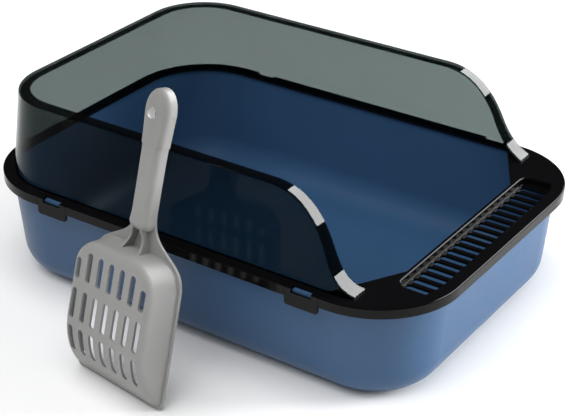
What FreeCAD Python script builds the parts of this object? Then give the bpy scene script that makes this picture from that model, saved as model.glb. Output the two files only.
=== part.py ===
# Cat litter box with a low open hood, and its scoop.
# Millimetres.  +X is the entry end, +Z is up, the origin is the centre of the tray's underside.
import FreeCAD, Part
import os
from math import asin, cos, radians, sin

from FreeCAD import Base

Vec = Base.Vector
os.makedirs("parts", exist_ok=True)

# ---------------------------------------------------------------- driving sizes
length = 480.0                # over the rim, along X
width = 342.0                 # over the rim, along Y
corner_radius = 80.0          # of the rim's outline
rim_top = 105.0               # height of the rim's top face
hood_rise = 79.0              # hood's top edge above that

seat_clear = 0.4              # between the hood and the tray it sits on
tab_clear = 0.3               # round each snap tab

# tray
tray_wall = 2.0
tray_floor = 2.5
tray_inset = 9.1              # tray wall's outer face under the skirt, in from the rim's outline
tray_foot_inset = 17.5        # the same at the floor, so the wall leans in
tray_foot_radius = 30.0
tray_flange = 2.4             # thickness of the lip that carries the hood
flange_edge_radius = 0.8
lug_length = 17.0             # lug of the tray's lip, seen in a snap tab's window
lug_depth = 2.0
lug_rise = 1.6

# rim of the hood
rim_sheet = 2.5
skirt_drop = 9.3
skirt_wall = 2.4
rim_edge_radius = 1.2

# slotted tread at the entry end, measured back from the rim's end
bar_back = 48.5               # inner bar between the litter space and the tread
bar_width = 3.6
bar_half = 94.0               # it runs straight this far each way, then the opening's corners slant
opening_slant = 0.57          # back along the box for each millimetre outward
recess_depth = 6.5
recess_floor = 2.2
recess_wall = 1.7
recess_side = 55.0            # recess end to the rim's side
recess_corner = 9.0
recess_edge_radius = 1.5
slot_pitch = 11.6
slot_width = 6.6
slot_margin = 2.0             # slot's inner end to the bar
slot_end_margin = 1.6         # slot's outer end to the recess wall
slot_side_margin = 8.0        # end slot to the recess end
slot_edge_radius = 0.6

# snap tabs, two on each long side
tab_width = 33.0
tab_to_corner = 7.5           # tab to where the rim's corner starts
tab_drop = 7.8                # below the skirt
tab_foot_radius = 2.5
tab_window = 20.0
tab_window_drop = 4.6         # window's lower edge below the rim's top

# hood wall
hood_inset = 10.9             # wall's foot, in from the rim's outline
hood_top_inset = 20.4
hood_wall = 2.2
hood_lip = 11.0               # the lip turned in along the top
hood_foot_lip = 16.5          # the same lip where it meets the rim
hood_edge_radius = 1.6
curve_top_back = 149.0        # the side's front edge leaves the top here, back from the rim's end
curve_middle_back = 90.0
curve_middle_part = 0.42      # of the way from the rim to the top
curve_foot_back = 61.0        # and ends above the rim here, in a blunt step
curve_foot_rise = 1.8

# scoop
scoop_side = 75.1             # tip to the rim's side
scoop_along = 0.5             # tip along the box from its centre
scoop_yaw = -8.9              # degrees
scoop_lean = 15.0             # degrees from upright
blade_length = 128.0
blade_half = 52.5
blade_rear_half = 50.4
bottom_half = 48.0
basket_depth = 32.0
ramp_length = 58.0
scoop_wall = 2.4
rim_flange = 2.2              # bead round the basket's rim
basket_radius = 7.0           # round its bottom
basket_corner = 24.0          # its two rear corners
rear_slope = 0.04             # of its rear wall
tip_round = 6.0               # the blade's two corners
shoulder_drop = 26.0          # the rim leaves its straight side this far before the rear
hip_in = 17.0                 # where the shoulder turns towards the neck, in from the side
hip_drop = -1.5               # and before the rear
slat_count = 7
slat_pitch = 13.2
slat_width = 6.0
slat_rows = ((104.0, 27.0), (68.0, 28.0), (35.0, 25.0))   # centre from the tip, length
outer_slat_trim = 8.0         # the first row's two end slots are this much shorter
rib_half = 1.1                # of the two ribs between the neck and the rear wall
rib_foot = 12.3               # their feet, out from the middle
rib_neck = 5.0                # their upper ends
rib_foot_rise = 15.0
rib_neck_rise = 11.0
rib_dip = 6.0                 # height that their edges curve towards between the two
neck_gap = 23.0               # from the basket's rear edge to the neck
neck_back = 6.0               # the handle starts this far before the neck
neck_half = 12.0
neck_flare = 12.5             # the neck's outline is straight from here on
neck_end_radius = 7.0
handle_length = 116.0
handle_half = 14.2
handle_thick = 12.0
handle_round = 6.0
head_length = 20.0            # the handle's end, from its widest
hang_hole_radius = 5.0
hang_hole_back = 21.0         # from the handle's end
hang_hole_side = -3.0
grip_step = 1.1               # the handle's sides step in by this
grip_step_back = 48.0         # at this distance from its end

# ---------------------------------------------------------------- places worked out from them
seat_top = rim_top - rim_sheet - seat_clear           # tray lip's top face
flange_inset = skirt_wall + seat_clear
skirt_low = rim_top - skirt_drop
hood_top = rim_top + hood_rise
wall_lean = (tray_foot_inset - tray_inset) / skirt_low
tab_x = length / 2 - corner_radius - tab_to_corner - tab_width / 2
bar_start = length / 2 - bar_back
bar_end = bar_start + bar_width
recess_low = rim_top - recess_depth - recess_floor
recess_half = width / 2 - recess_side
slot_room = 2 * (recess_half - slot_side_margin) - slot_width
slot_count = int(slot_room / slot_pitch) + 1


def tray_wall_inset(z):
    """Outer face of the tray's wall at height z."""
    return tray_inset + wall_lean * (skirt_low - z)


# flat band of the rim round the opening, which hangs the recess just inside the tray's wall
rim_band = tray_wall_inset(recess_low) + tray_wall + seat_clear + recess_wall


# ---------------------------------------------------------------- outlines
def outline(inset, z):
    """Rounded rectangle of the rim's outline, moved in by inset."""
    half_x = length / 2 - inset
    half_y = width / 2 - inset
    radius = max(corner_radius - inset, 3.0)
    flat_x = half_x - radius
    flat_y = half_y - radius
    diagonal = radius * cos(radians(45))
    edges = []
    for turn in range(4):
        across = flat_x if turn % 2 == 0 else flat_y
        along = flat_y if turn % 2 == 0 else flat_x
        points = [
            Vec(across + radius, -along, z),
            Vec(across + radius, along, z),
            Vec(across + diagonal, along + diagonal, z),
            Vec(across, along + radius, z),
        ]
        spin = Base.Rotation(Vec(0, 0, 1), 90.0 * turn)
        points = [spin.multVec(point) for point in points]
        edges.append(Part.makeLine(points[0], points[1]))
        edges.append(Part.Arc(points[1], points[2], points[3]).toShape())
    return Part.Wire(edges)


def prism(inset, low, high):
    """Upright block of the moved-in outline."""
    return Part.Face(outline(inset, low)).extrude(Vec(0, 0, high - low))


def taper(low_inset, low, high_inset, high):
    """Block whose outline changes from one inset to another with height."""
    return Part.makeLoft([outline(low_inset, low), outline(high_inset, high)], True, True)


def block(low, high):
    size = Vec(*high) - Vec(*low)
    return Part.makeBox(size.x, size.y, size.z, Vec(*low))


def plan_edges(shape, z):
    """Edges that lie flat at height z."""
    found = []
    for edge in shape.Edges:
        box = edge.BoundBox
        if abs(box.ZMin - z) < 1e-4 and abs(box.ZMax - z) < 1e-4:
            found.append(edge)
    return found


def save(shape, name):
    solid = shape.removeSplitter().Solids[0]
    print(name, len(shape.Solids), "solid", round(solid.Volume / 1000, 1), "cm3", solid.isValid())
    solid.exportStep("parts/" + name + ".step")


# ---------------------------------------------------------------- tray
def make_tray():
    foot = tray_wall_inset(0.0)
    outer = taper(foot, 0.0, tray_wall_inset(seat_top), seat_top)
    outer = outer.makeFillet(tray_foot_radius, plan_edges(outer, 0.0))
    inner_foot = tray_wall_inset(tray_floor) + tray_wall
    inner = taper(inner_foot, tray_floor, tray_wall_inset(seat_top) + tray_wall, seat_top)
    inner = inner.makeFillet(tray_foot_radius - tray_floor, plan_edges(inner, tray_floor))
    flange = prism(flange_inset, seat_top - tray_flange, seat_top)
    flange = flange.makeFillet(flange_edge_radius, plan_edges(flange, seat_top))
    tray = outer.fuse(flange)
    for x in (-tab_x, tab_x):
        for side in (-1, 1):
            out = side * (width / 2 - flange_inset)
            back = side * (width / 2 - flange_inset - lug_depth)
            low = (x - lug_length / 2, min(out, back), seat_top - tray_flange)
            high = (x + lug_length / 2, max(out, back), seat_top + lug_rise)
            tray = tray.fuse(block(low, high))
    return tray.cut(inner)


# ---------------------------------------------------------------- rim and grille
def recess_block(low, high, grow):
    """Recess of the grille, between the inner bar and the rim band, grown by a wall."""
    inset = rim_band - grow
    body = prism(inset, low, high)
    start = bar_end - grow
    half = recess_half + grow
    radius = recess_corner + grow
    window = block((start, -half, low - 1), (length / 2, half, high + 1))
    upright = []
    for edge in window.Edges:
        box = edge.BoundBox
        if box.ZLength > 1 and abs(box.XMin - start) < 1e-4:
            upright.append(edge)
    window = window.makeFillet(radius, upright)
    return body.common(window)


def tab_space(grow):
    """Place, side and block that each snap tab takes out of the rim, grown by a clearance."""
    found = []
    for x in (-tab_x, tab_x):
        for side in (-1, 1):
            out = side * (width / 2 + 1)
            back = side * (width / 2 - skirt_wall - grow)
            low = (x - tab_width / 2 - grow, min(out, back), skirt_low - tab_drop - 1)
            high = (x + tab_width / 2 + grow, max(out, back), rim_top + 1)
            found.append((x, side, block(low, high)))
    return found


def make_rim():
    rim = prism(0.0, skirt_low, rim_top)
    rim = rim.makeFillet(rim_edge_radius, plan_edges(rim, rim_top))
    rim = rim.cut(prism(skirt_wall, skirt_low - 1, rim_top - rim_sheet))
    opening = prism(rim_band, skirt_low - 1, rim_top + 1)
    slant_start = bar_start - opening_slant * (width - bar_half)
    right = [Vec(-length, 0, 0), Vec(-length, -width, 0), Vec(slant_start, -width, 0),
             Vec(bar_start, -bar_half, 0)]
    left = [Vec(point.x, -point.y, 0) for point in reversed(right)]
    behind = Part.Face(Part.makePolygon(right + left[:-1] + right[:1]))
    opening = opening.common(behind.extrude(Vec(0, 0, 2 * rim_top)))
    rim = rim.cut(opening)
    rim = rim.fuse(recess_block(recess_low, rim_top - rim_sheet / 2, recess_wall))
    rim = rim.cut(recess_block(rim_top - recess_depth, rim_top + 1, 0.0)).removeSplitter()
    lips = [edge for edge in plan_edges(rim, rim_top) if edge.BoundBox.XMin > bar_end - 0.1
            and edge.BoundBox.XMax < length / 2 - rim_band + 0.1]
    rim = rim.makeFillet(recess_edge_radius, lips)
    for index in range(slot_count):
        y = (index - (slot_count - 1) / 2) * slot_pitch
        rim = rim.cut(slot(y))
    mouths = []
    for edge in plan_edges(rim, rim_top - recess_depth):
        box = edge.BoundBox
        if box.YLength < slot_width + 0.1 and box.XMin > bar_end + slot_margin - 0.1 and box.XMax < (
                length / 2 - rim_band - slot_end_margin + 0.1):
            mouths.append(edge)
    rim = rim.makeFillet(slot_edge_radius, mouths)
    for x, side, space in tab_space(tab_clear):
        rim = rim.cut(space)
        out = side * width / 2
        back = side * (width / 2 - flange_inset - lug_depth - tab_clear)
        low = (x - tab_window / 2, min(out, back), rim_top - tab_window_drop)
        high = (x + tab_window / 2, max(out, back), rim_top + 1)
        rim = rim.cut(block(low, high))
    return rim


def slot(y):
    """One slot of the tread, round-ended, as long as the rim's arc leaves it."""
    inset = rim_band + slot_end_margin
    radius = corner_radius - inset
    beyond = abs(y) + slot_width / 2 - (width / 2 - corner_radius)
    end = length / 2 - inset
    if beyond > 0:
        end = length / 2 - corner_radius + (radius ** 2 - beyond ** 2) ** 0.5
    half = slot_width / 2
    start = bar_end + slot_margin
    low = recess_low - 1
    high = recess_low + recess_floor + 1
    ends = [Part.makeCylinder(half, high - low, Vec(x, y, low)) for x in (start + half, end - half)]
    middle = block((start + half, y - half, low), (end - half, y + half, high))
    return middle.fuse(ends)


# ---------------------------------------------------------------- snap tabs
def make_tab(x, side):
    """Tongue that hangs in the skirt, with a window over the tray's lug."""
    out = side * width / 2
    back = side * (width / 2 - skirt_wall)
    low = (x - tab_width / 2, min(out, back), skirt_low - tab_drop)
    high = (x + tab_width / 2, max(out, back), rim_top)
    tab = block(low, high)
    corner = [edge for edge in tab.Edges if abs(edge.BoundBox.YMin - out) < 1e-4
              and abs(edge.BoundBox.YMax - out) < 1e-4 and edge.BoundBox.ZMin > rim_top - 1e-3]
    tab = tab.makeFillet(rim_edge_radius, corner)
    foot = [edge for edge in tab.Edges if edge.BoundBox.ZMax < skirt_low and edge.BoundBox.YLength > 1
            and edge.BoundBox.ZLength < 1e-3]
    tab = tab.makeFillet(tab_foot_radius, foot)
    low = (x - tab_window / 2, -width, rim_top - tab_window_drop)
    high = (x + tab_window / 2, width, rim_top + 1)
    return tab.cut(block(low, high))


# ---------------------------------------------------------------- hood wall
def side_region(drop):
    """Everything under and behind the side's front edge, lowered by drop, as a block across Y."""
    end = length / 2
    low = rim_top - 5
    top = hood_top - drop
    rise = hood_rise / 79.0
    top_back = Vec(-length, 0, top)
    top_front = Vec(end - curve_top_back - drop * 0.3, 0, top)
    middle_z = rim_top + hood_rise * curve_middle_part
    middle = Vec(end - curve_middle_back - drop * 0.9, 0, middle_z - drop * 0.3)
    foot = Vec(end - curve_foot_back - drop * 0.6, 0, rim_top + curve_foot_rise - drop * 0.8)
    upper = Part.BezierCurve()
    upper.setPoles([top_front, top_front + Vec(32, 0, 0), middle + Vec(-10, 0, 24 * rise), middle])
    lower = Part.BezierCurve()
    lower.setPoles([middle, middle + Vec(7.5, 0, -18 * rise), foot + Vec(-14, 0, 4 * rise), foot])
    edges = [
        Part.makeLine(Vec(-length, 0, low), top_back),
        Part.makeLine(top_back, top_front),
        upper.toShape(),
        lower.toShape(),
        Part.makeLine(foot, Vec(foot.x, 0, low)),
        Part.makeLine(Vec(foot.x, 0, low), Vec(-length, 0, low)),
    ]
    face = Part.Face(Part.Wire(edges))
    face.translate(Vec(0, -width, 0))
    return face.extrude(Vec(0, 2 * width, 0))


def make_hood():
    outer = taper(hood_inset, rim_top, hood_top_inset, hood_top).common(side_region(0.0))
    lean = (hood_top_inset - hood_inset) / hood_rise
    below = rim_top - 2.0
    inner = taper(hood_inset + hood_wall - lean * (rim_top - below), below,
                  hood_top_inset + hood_wall, hood_top)
    inner = inner.common(side_region(hood_wall))
    core = taper(hood_inset + hood_foot_lip, below, hood_top_inset + hood_lip, hood_top + 2.0)
    soft = [edge for edge in outer.Edges if edge.BoundBox.ZMax > rim_top + curve_foot_rise + 0.5
            and between_side_and_front(edge, outer)]
    return outer.makeFillet(hood_edge_radius, soft).cut([inner, core])


def between_side_and_front(edge, shape):
    """True on an edge between the side wall and the top or the curved front face."""
    faces = [face for face in shape.Faces if any(edge.isSame(other) for other in face.Edges)]
    if len(faces) != 2:
        return False
    crosses = []
    for face in faces:
        u0, u1, v0, v1 = face.ParameterRange
        normal = face.normalAt((u0 + u1) / 2, (v0 + v1) / 2)
        faces_out = abs(normal.y) < 1e-6 and (normal.z > 0.3 or normal.x > 0.3)
        crosses.append(faces_out and face.BoundBox.YLength > 0.7 * width)
    return crosses[0] != crosses[1]


# ---------------------------------------------------------------- scoop
# The scoop is drawn flat: X across, Y from the tip to the handle, Z from its open side outward.
def ramp_point(part, skin):
    """Point of the ramp's arc, from 0 at the tip to 1 where it meets the flat bottom."""
    radius = (ramp_length ** 2 + basket_depth ** 2) / (2 * basket_depth)
    centre_z = basket_depth - radius
    low = -skin
    start = asin((low - centre_z) / (radius - skin))
    angle = start + (radians(90) - start) * part
    return Vec(0, ramp_length - (radius - skin) * cos(angle), centre_z + (radius - skin) * sin(angle))


def basket_block(skin):
    """The basket's outside, or with a skin its inside, open at the rim."""
    top = basket_depth - skin
    rear_rim = Vec(0, blade_length - 1.02 * skin + rear_slope * skin, -skin)
    rear_top = Vec(0, blade_length - 1.02 * skin - rear_slope * top, top)
    profile = Part.Wire([
        Part.Arc(ramp_point(0.0, skin), ramp_point(0.5, skin), ramp_point(1.0, skin)).toShape(),
        Part.makeLine(ramp_point(1.0, skin), rear_top),
        Part.makeLine(rear_top, rear_rim),
        Part.makeLine(rear_rim, ramp_point(0.0, skin)),
    ])
    profile.translate(Vec(-length, 0, 0))
    body = Part.Face(profile).extrude(Vec(2 * length, 0, 0))
    side_lean = (blade_half - bottom_half) / basket_depth

    def ring(z):
        drop = side_lean * z + skin
        tip = blade_half - drop
        rear = blade_rear_half - drop
        points = [Vec(-tip, -10, z), Vec(tip, -10, z), Vec(rear, blade_length + 10, z),
                  Vec(-rear, blade_length + 10, z)]
        return Part.makePolygon(points + points[:1])

    sides = Part.makeLoft([ring(-skin), ring(top)], True, True)
    body = body.common(sides)
    upright = [edge for edge in body.Edges if edge.BoundBox.ZLength > basket_depth / 2
               and edge.BoundBox.YMin > ramp_length and edge.BoundBox.XLength < bottom_half]
    body = body.makeFillet(basket_corner - skin, upright)
    loop = []
    for edge in body.Edges:
        box = edge.BoundBox
        on_ramp = box.YMax < ramp_length + 1 and box.ZMax > -skin + 1e-3
        across = box.YMax < ramp_length + 1 and box.XLength > bottom_half
        if (box.ZMin > top - 1e-3 or on_ramp) and not across:
            loop.append(edge)
    return body.makeFillet(basket_radius - skin, loop)


neck_y = blade_length + neck_gap - neck_back          # the handle's lower end
handle_end = blade_length + neck_gap + handle_length
grip_end = handle_end - grip_step_back


def handle_side(inset, z):
    """The handle's right side and round end seen flat, moved in by inset, as a side and a cap."""
    neck = Vec(neck_half - inset, blade_length + neck_gap + neck_flare, z)
    head = Vec(handle_half - inset, handle_end - head_length, z)
    end = handle_end - max(inset - grip_step, 0.0)
    side = Part.BezierCurve()
    side.setPoles([neck, neck + Vec(-0.2, 60, 0), head + Vec(-1.6, -25, 0), head])
    cap = Part.BezierCurve()
    cap.setPoles([head, head + Vec(0, 0.62 * (end - head.y), 0), Vec(0.55 * head.x, end, z),
                  Vec(0, end, z)])
    return neck, [side.toShape(), cap.toShape()]


def half_outline(inset):
    """Right half of the rim, shoulder and handle seen flat; the handle is moved in by inset."""
    edge = blade_half + rim_flange
    rear = blade_rear_half + rim_flange
    shoulder = blade_length - shoulder_drop
    hip = Vec(rear - hip_in, blade_length - hip_drop, 0)
    tip_end = Vec(edge - 0.1 * tip_round, tip_round, 0)
    neck, handle = handle_side(inset, 0)
    round_tip = Part.BezierCurve()
    round_tip.setPoles([Vec(blade_half - tip_round, 0, 0), Vec(blade_half, 0, 0), tip_end])
    corner = Part.BezierCurve()
    corner.setPoles([Vec(rear, shoulder, 0), Vec(rear, shoulder + 17, 0),
                     hip + Vec(10, -6, 0), hip])
    waist = Part.BezierCurve()
    waist.setPoles([hip, hip + Vec(-14, 8.4, 0), neck + Vec(0.1, -22, 0), neck])
    return [
        Part.makeLine(Vec(0, 0, 0), Vec(blade_half - tip_round, 0, 0)),
        round_tip.toShape(),
        Part.makeLine(tip_end, Vec(rear, shoulder, 0)),
        corner.toShape(),
        waist.toShape(),
    ] + handle


def mirrored(right, thick):
    """Plate whose right half has these edges."""
    left = [edge.mirror(Vec(0, 0, 0), Vec(1, 0, 0)) for edge in right]
    wire = Part.Wire(Part.__sortEdges__(right + left))
    return Part.Face(wire).extrude(Vec(0, 0, thick))


def scoop_slot(x, y, long):
    half = slat_width / 2
    high = basket_depth + 2
    ends = [Part.makeCylinder(half, high, Vec(x, y + side * (long / 2 - half), 1.0)) for side in (-1, 1)]
    middle = block((x - half, y - long / 2 + half, 1.0), (x + half, y + long / 2 - half, 1.0 + high))
    return middle.fuse(ends)


def handle_hollow():
    """Inside of the handle, which is open on the side away from its crown."""
    low = -1.0
    start = neck_y + scoop_wall + 2.0
    neck, sides = handle_side(scoop_wall + grip_step, low)
    narrow = Vec(neck.x, start, low)
    right = [Part.makeLine(Vec(0, start, low), narrow), Part.makeLine(narrow, neck)] + sides
    top = handle_thick - scoop_wall
    hollow = mirrored(right, top - low)
    return hollow.makeFillet(handle_round - scoop_wall, plan_edges(hollow, top))


def handle_part(inset, low, high, rounded):
    """Length of the handle from low to high, its crown's edges rounded, and its lower end too."""
    body = mirrored(half_outline(inset), handle_thick)
    body = body.common(block((-width, low, -1), (width, high, handle_thick + 1)))
    if rounded:
        ends = [edge for edge in body.Edges if edge.BoundBox.YMax < low + 1e-3
                and edge.BoundBox.ZLength > 1]
        body = body.makeFillet(neck_end_radius, ends)
    crown = [edge for edge in plan_edges(body, handle_thick)
             if edge.BoundBox.YLength > 1e-3 or (rounded and edge.BoundBox.YMax < low + 1e-3)]
    return body.makeFillet(handle_round, crown)


def make_handle():
    lower = handle_part(grip_step, neck_y, grip_end, True)
    upper = handle_part(0.0, grip_end, handle_end + 1, False)
    hole = Part.makeCylinder(hang_hole_radius, 40, Vec(hang_hole_side, handle_end - hang_hole_back, -20))
    return lower.fuse(upper).cut(hole)


def make_ribs():
    """Two ribs that run apart from the neck down to the basket's rear wall."""
    foot = blade_length - basket_corner / 3
    reach = neck_y + scoop_wall
    dip = Part.BezierCurve()
    wall_y = blade_length - rear_slope * rib_foot_rise
    dip.setPoles([Vec(-width, wall_y, rib_foot_rise), Vec(-width, (wall_y + neck_y) / 2, rib_dip),
                  Vec(-width, neck_y, rib_neck_rise)])
    profile = Part.Wire([
        Part.makeLine(Vec(-width, foot, 0), Vec(-width, foot, rib_foot_rise)),
        Part.makeLine(Vec(-width, foot, rib_foot_rise), Vec(-width, wall_y, rib_foot_rise)),
        dip.toShape(),
        Part.makeLine(Vec(-width, neck_y, rib_neck_rise), Vec(-width, reach, rib_neck_rise)),
        Part.makeLine(Vec(-width, reach, rib_neck_rise), Vec(-width, reach, 0)),
        Part.makeLine(Vec(-width, reach, 0), Vec(-width, foot, 0)),
    ])
    wedge = Part.Face(profile).extrude(Vec(2 * width, 0, 0))
    ribs = []
    for side in (-1, 1):
        foot_x = side * rib_foot
        neck_x = side * rib_neck
        points = [Vec(foot_x - rib_half, foot, 0), Vec(foot_x + rib_half, foot, 0),
                  Vec(neck_x + rib_half, reach, 0), Vec(neck_x - rib_half, reach, 0)]
        rib = Part.Face(Part.makePolygon(points + points[:1])).extrude(Vec(0, 0, basket_depth))
        ribs.append(rib.common(wedge))
    return ribs


def make_scoop():
    """The scoop in two pieces that meet at the neck: its basket, and its handle."""
    plate = mirrored(half_outline(grip_step), scoop_wall)
    plate = plate.common(block((-width, -1, -1), (width, grip_end, scoop_wall + 1)))
    whole = basket_block(0.0).fuse([plate, make_handle()] + make_ribs())
    whole = whole.cut([basket_block(scoop_wall), handle_hollow()])
    for row, (y, long) in enumerate(slat_rows):
        for index in range(slat_count):
            x = (index - (slat_count - 1) / 2) * slat_pitch
            trim = outer_slat_trim if row == 0 and index in (0, slat_count - 1) else 0.0
            whole = whole.cut(scoop_slot(x, y - trim / 2, long - trim))
    across = Base.Rotation(Vec(0, 0, 1), scoop_yaw)
    stand = Base.Rotation(Vec(1, 0, 0), 90.0 - scoop_lean)
    tip = Vec(scoop_along, -width / 2 - scoop_side, 0)
    place = Base.Placement(tip, across.multiply(stand))
    pieces = []
    for low, high in ((-neck_y, neck_y), (neck_y, 3 * neck_y)):
        piece = whole.common(block((-width, low, -length), (width, high, length)))
        piece.Placement = place
        pieces.append(piece)
    return pieces


save(make_tray(), "tray")
save(make_rim(), "rim_frame")
save(make_hood(), "hood_wall")
for x, side in [(x, side) for x in (-tab_x, tab_x) for side in (-1, 1)]:
    end_name = "front" if x > 0 else "rear"
    side_name = "left" if side > 0 else "right"
    save(make_tab(x, side), "snap_tab_" + end_name + "_" + side_name)
basket, handle = make_scoop()
save(basket, "scoop_basket")
save(handle, "scoop_handle")
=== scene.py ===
import math
import bmesh
import bpy
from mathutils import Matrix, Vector

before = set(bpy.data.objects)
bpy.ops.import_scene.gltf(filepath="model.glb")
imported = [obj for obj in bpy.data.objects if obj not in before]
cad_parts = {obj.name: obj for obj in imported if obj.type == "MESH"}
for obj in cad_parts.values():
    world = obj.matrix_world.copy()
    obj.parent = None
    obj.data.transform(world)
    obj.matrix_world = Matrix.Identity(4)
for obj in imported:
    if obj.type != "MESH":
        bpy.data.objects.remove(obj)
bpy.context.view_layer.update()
print("frame loaded")

# camera: where it looks from, and the lens that gives the view its depth
cameraView = {
    "azimuth": 34.325,
    "elevation": 28.897,
    "roll": 0.13,
    "distance": 1.4828,
    "aim": (0.0095, -0.0092, 0.070),
    "lens": 99.4,
    "sensor": 36.0,
    "nearest": 0.05,
    "farthest": 40.0,
}


def makeCamera(view):
    turn = math.radians(view["azimuth"])
    rise = math.radians(view["elevation"])
    back = Vector((math.sin(turn) * math.cos(rise), -math.cos(turn) * math.cos(rise), math.sin(rise)))
    camera = bpy.data.objects.new("camera", bpy.data.cameras.new("camera"))
    camera.data.lens = view["lens"]
    camera.data.sensor_width = view["sensor"]
    camera.data.clip_start = view["nearest"]
    camera.data.clip_end = view["farthest"]
    camera.location = Vector(view["aim"]) + back * view["distance"]
    camera.rotation_euler = back.to_track_quat("Z", "Y").to_euler()
    camera.rotation_euler.rotate_axis("Z", math.radians(view["roll"]))
    bpy.context.collection.objects.link(camera)
    bpy.context.scene.camera = camera


makeCamera(cameraView)
print("camera placed")

# ---- materials

# what every opaque moulding shares
moulding = {
    "ior": 1.49,
    # slow drift of the pigment: how fine it is, and the part of the noise that it uses
    "cloudScale": 9.0,
    "cloudDetail": 3.0,
    "cloudRange": (0.3, 0.7),
    # the same noise moves the roughness, by this share either way
    "glossRange": (0.25, 0.75),
    "glossSwing": 0.15,
    # short scuffs, long one way and narrow the other two
    "scuffTurn": (0.3, 0.2, 0.6),
    "scuffStretch": (14, 150, 150),
    "scuffDetail": 4.0,
    "scuffRange": (0.62, 0.78),
    # depth of the mould's grain, in metres
    "grainDetail": 2.0,
    "grainDepth": 0.0002,
}
trayFinish = {
    "colour": (0.034, 0.085, 0.176),
    "wornColour": (0.10, 0.16, 0.26),
    "drift": 0.05,
    "roughness": 0.36,
    "shine": 0.3,
    "grain": 900.0,
    "relief": 0.08,
    "scuffs": 0.10,
}
rimFinish = {
    "colour": (0.003, 0.003, 0.0035),
    "wornColour": (0.02, 0.02, 0.02),
    "drift": 0.1,
    "roughness": 0.07,
    "shine": 0.14,
    "grain": 420.0,
    "relief": 0.012,
    "scuffs": 0.06,
}
smokeFinish = {
    "sheetTint": (0.345, 0.383, 0.378),
    # painted shade: darker tint drawn on lips and curved edges, standing in for light running along the
    # sheet
    "paintedLipShade": (0.15, 0.175, 0.17),
    # roughness, and how far the flow marks lower and raise it
    "gloss": 0.03,
    "glossSpread": (0.6, 1.6),
    # mirror strength seen face on and edge on, and how suddenly it rises between them
    "sheetFaceOn": 0.004,
    "edgeFaceOn": 0.05,
    "edgeOn": 0.9,
    "rise": 5.0,
    # how much a face has to look up or down to count as an edge
    "edgeSlope": (0.22, 0.42),
    "flowScale": 14.0,
    "flowDetail": 3.0,
    "flowTwist": 1.2,
    "flowRange": (0.3, 0.7),
    "drift": 0.03,
}
scoopFinish = {
    "colour": (0.27, 0.269, 0.264),
    "wornColour": (0.36, 0.36, 0.355),
    "drift": 0.05,
    "roughness": 0.45,
    "shine": 0.4,
    "grain": 1400.0,
    "relief": 0.12,
    "scuffs": 0.12,
}


def newMaterial(name):
    material = bpy.data.materials.new(name)
    material.use_nodes = True
    nodes = material.node_tree.nodes
    nodes.clear()
    output = nodes.new("ShaderNodeOutputMaterial")
    return material, nodes, material.node_tree.links, output


def addNode(nodes, kind, **values):
    node = nodes.new(kind)
    for key, value in values.items():
        if key in node.inputs:
            node.inputs[key].default_value = value
        else:
            setattr(node, key, value)
    return node


def mapped(nodes, links, value, low, high, newLow, newHigh):
    node = nodes.new("ShaderNodeMapRange")
    node.inputs["From Min"].default_value, node.inputs["From Max"].default_value = low, high
    node.inputs["To Min"].default_value, node.inputs["To Max"].default_value = newLow, newHigh
    links.new(value, node.inputs["Value"])
    return node.outputs["Result"]


def mouldedPlastic(name, finish):
    material, nodes, links, output = newMaterial(name)
    shader = nodes.new("ShaderNodeBsdfPrincipled")
    shader.inputs["IOR"].default_value = moulding["ior"]
    shader.inputs["Specular IOR Level"].default_value = finish["shine"]
    place = nodes.new("ShaderNodeTexCoord").outputs["Object"]
    # slow drift of the pigment through the moulding
    cloud = addNode(nodes, "ShaderNodeTexNoise", Scale=moulding["cloudScale"],
                    Detail=moulding["cloudDetail"])
    links.new(place, cloud.inputs["Vector"])
    colour = nodes.new("ShaderNodeValToRGB")
    low, high = colour.color_ramp.elements
    low.position, high.position = moulding["cloudRange"]
    drift = finish["drift"]
    low.color = [c * (1 - drift) for c in finish["colour"]] + [1]
    high.color = [c * (1 + drift) for c in finish["colour"]] + [1]
    links.new(cloud.outputs["Fac"], colour.inputs["Fac"])
    # scuffs lighten and dull the surface
    stretch = nodes.new("ShaderNodeMapping")
    stretch.inputs["Rotation"].default_value = moulding["scuffTurn"]
    stretch.inputs["Scale"].default_value = moulding["scuffStretch"]
    links.new(place, stretch.inputs["Vector"])
    scuffs = addNode(nodes, "ShaderNodeTexNoise", Scale=1.0, Detail=moulding["scuffDetail"])
    links.new(stretch.outputs["Vector"], scuffs.inputs["Vector"])
    scuffed = mapped(nodes, links, scuffs.outputs["Fac"], *moulding["scuffRange"], 0.0, finish["scuffs"])
    worn = nodes.new("ShaderNodeMix")
    worn.data_type = "RGBA"
    worn.inputs["B"].default_value = (*finish["wornColour"], 1)
    links.new(scuffed, worn.inputs["Factor"])
    links.new(colour.outputs["Color"], worn.inputs["A"])
    links.new(worn.outputs["Result"], shader.inputs["Base Color"])
    # fine grain of the mould, in the gloss and as relief
    grain = addNode(nodes, "ShaderNodeTexNoise", Scale=finish["grain"], Detail=moulding["grainDetail"])
    links.new(place, grain.inputs["Vector"])
    rough = nodes.new("ShaderNodeMath")
    rough.operation = "ADD"
    swing = moulding["glossSwing"]
    links.new(mapped(nodes, links, cloud.outputs["Fac"], *moulding["glossRange"],
                     finish["roughness"] * (1 - swing), finish["roughness"] * (1 + swing)), rough.inputs[0])
    links.new(scuffed, rough.inputs[1])
    links.new(rough.outputs["Value"], shader.inputs["Roughness"])
    bump = addNode(nodes, "ShaderNodeBump", Strength=finish["relief"], Distance=moulding["grainDepth"])
    links.new(grain.outputs["Fac"], bump.inputs["Height"])
    links.new(bump.outputs["Normal"], shader.inputs["Normal"])
    links.new(shader.outputs["BSDF"], output.inputs["Surface"])
    return material


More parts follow.
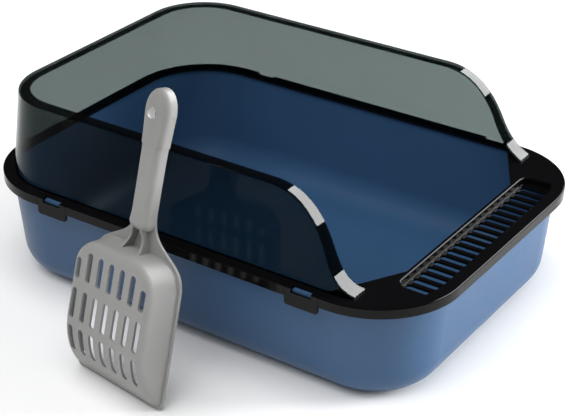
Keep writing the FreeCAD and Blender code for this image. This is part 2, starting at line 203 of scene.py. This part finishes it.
def smokePlastic(name, finish):
    material, nodes, links, output = newMaterial(name)

    def calculate(operation, first, second, third=0.0):
        node = nodes.new("ShaderNodeMath")
        node.operation = operation
        for socket, value in zip(node.inputs, (first, second, third)):
            if isinstance(value, float):
                socket.default_value = value
            else:
                links.new(value, socket)
        return node.outputs["Value"]

    # painted shade: lips and the curved front edges get a darker tint by their slope, standing in for light
    # running along the sheet there
    place = nodes.new("ShaderNodeTexCoord")
    parts = nodes.new("ShaderNodeSeparateXYZ")
    links.new(place.outputs["Normal"], parts.inputs["Vector"])
    slope = calculate("ABSOLUTE", parts.outputs["Z"], 0.0)
    edge = nodes.new("ShaderNodeMapRange")
    edge.interpolation_type = "SMOOTHSTEP"
    edge.inputs["From Min"].default_value, edge.inputs["From Max"].default_value = finish["edgeSlope"]
    links.new(slope, edge.inputs["Value"])
    edge = edge.outputs["Result"]
    # faint flow marks of the moulding in the sheet's tint and gloss
    flow = addNode(nodes, "ShaderNodeTexNoise", Scale=finish["flowScale"], Detail=finish["flowDetail"],
                   Distortion=finish["flowTwist"])
    links.new(place.outputs["Object"], flow.inputs["Vector"])
    drift = mapped(nodes, links, flow.outputs["Fac"], *finish["flowRange"], -finish["drift"],
                   finish["drift"])
    edge = calculate("ADD", edge, drift)
    # the sheet's own tint, mixed with the painted shade on lips and curved edges
    tintAndLipShade = nodes.new("ShaderNodeMix")
    tintAndLipShade.data_type = "RGBA"
    tintAndLipShade.inputs["A"].default_value = (*finish["sheetTint"], 1)
    tintAndLipShade.inputs["B"].default_value = (*finish["paintedLipShade"], 1)
    links.new(edge, tintAndLipShade.inputs["Factor"])
    clear = nodes.new("ShaderNodeBsdfTransparent")
    links.new(tintAndLipShade.outputs["Result"], clear.inputs["Color"])
    gloss = nodes.new("ShaderNodeBsdfGlossy")
    smoother, rougher = (finish["gloss"] * share for share in finish["glossSpread"])
    links.new(mapped(nodes, links, flow.outputs["Fac"], *finish["flowRange"], smoother, rougher),
              gloss.inputs["Roughness"])
    # mirror strength, the same from either face of the sheet
    facing = addNode(nodes, "ShaderNodeLayerWeight", Blend=0.5)
    steep = calculate("POWER", facing.outputs["Facing"], finish["rise"])
    faceOn = calculate("MULTIPLY_ADD", edge, finish["edgeFaceOn"] - finish["sheetFaceOn"],
                       finish["sheetFaceOn"])
    mirror = calculate("MULTIPLY_ADD", steep, finish["edgeOn"], faceOn)
    mix = nodes.new("ShaderNodeMixShader")
    links.new(mirror, mix.inputs["Fac"])
    links.new(clear.outputs["BSDF"], mix.inputs[1])
    links.new(gloss.outputs["BSDF"], mix.inputs[2])
    links.new(mix.outputs["Shader"], output.inputs["Surface"])
    return material


def dress(node, material):
    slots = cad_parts[node].data.materials
    slots.clear()
    slots.append(material)


trayPlastic = mouldedPlastic("trayPlastic", trayFinish)
rimPlastic = mouldedPlastic("rimPlastic", rimFinish)
smokeSheet = smokePlastic("smokePlastic", smokeFinish)
scoopPlastic = mouldedPlastic("scoopPlastic", scoopFinish)
dress("tray", trayPlastic)
dress("rim_frame", rimPlastic)
dress("hood_wall", smokeSheet)
dress("scoop_basket", scoopPlastic)
dress("scoop_handle", scoopPlastic)
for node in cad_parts:
    if node.startswith("snap_tab"):
        dress(node, rimPlastic)
print("materials on")

# ---- floor and light

studio = {
    "floor": (0.95, 0.95, 0.95),
    "floorRoughness": 0.9,
    # half the floor's width
    "floorSize": 1.8,
    "aim": (0, 0, 0.1),
    # strength of the room as the camera, gloss and everything else meet it
    "backdrop": 1.0,
    "mirrored": 0.03,
    "room": 0.3,
    # place, size and watts of each lamp, and whether it lights surfaces or only shows in gloss
    "lamps": {
        "overhead": ((-0.3, -1.0, 3.0), (3.5, 3.5), 105.0, True),
        "side": ((2.25, 1.85, 0.75), (1.4, 1.4), 160.0, True),
        "panel": ((1.3, 2.2, 2.0), (3.5, 2.2), 260.0, False),
    },
}


def makeFloor():
    mesh = bpy.data.meshes.new("floor")
    shape = bmesh.new()
    bmesh.ops.create_grid(shape, x_segments=1, y_segments=1, size=studio["floorSize"])
    shape.to_mesh(mesh)
    shape.free()
    floor = bpy.data.objects.new("floor", mesh)
    bpy.context.collection.objects.link(floor)
    material, nodes, links, output = newMaterial("paleFloor")
    shader = nodes.new("ShaderNodeBsdfPrincipled")
    shader.inputs["Base Color"].default_value = (*studio["floor"], 1)
    shader.inputs["Roughness"].default_value = studio["floorRoughness"]
    links.new(shader.outputs["BSDF"], output.inputs["Surface"])
    mesh.materials.append(material)


def makeLamp(name, place, size, power, lights):
    data = bpy.data.lights.new(name, "AREA")
    data.shape = "RECTANGLE"
    data.size, data.size_y = size
    data.energy = power
    lamp = bpy.data.objects.new(name, data)
    lamp.location = place
    lamp.rotation_euler = (Vector(place) - Vector(studio["aim"])).to_track_quat("Z", "Y").to_euler()
    lamp.visible_diffuse = lights
    lamp.visible_glossy = not lights
    bpy.context.collection.objects.link(lamp)


def makeWorld():
    world = bpy.data.worlds.new("studio")
    world.use_nodes = True
    nodes, links = world.node_tree.nodes, world.node_tree.links
    nodes.remove(nodes["Background"])
    seen = nodes.new("ShaderNodeLightPath")
    light = None
    for strength, ray in (("room", None), ("mirrored", "Is Glossy Ray"), ("backdrop", "Is Camera Ray")):
        shade = addNode(nodes, "ShaderNodeBackground", Strength=studio[strength])
        shade.inputs["Color"].default_value = (1, 1, 1, 1)
        if light is None:
            light = shade.outputs["Background"]
            continue
        mix = nodes.new("ShaderNodeMixShader")
        links.new(seen.outputs[ray], mix.inputs["Fac"])
        links.new(light, mix.inputs[1])
        links.new(shade.outputs["Background"], mix.inputs[2])
        light = mix.outputs["Shader"]
    links.new(light, nodes["World Output"].inputs["Surface"])
    bpy.context.scene.world = world


makeFloor()
makeWorld()
for lampName, lamp in studio["lamps"].items():
    makeLamp(lampName, *lamp)
bpy.context.scene.view_settings.view_transform = "Standard"
print("studio lit")
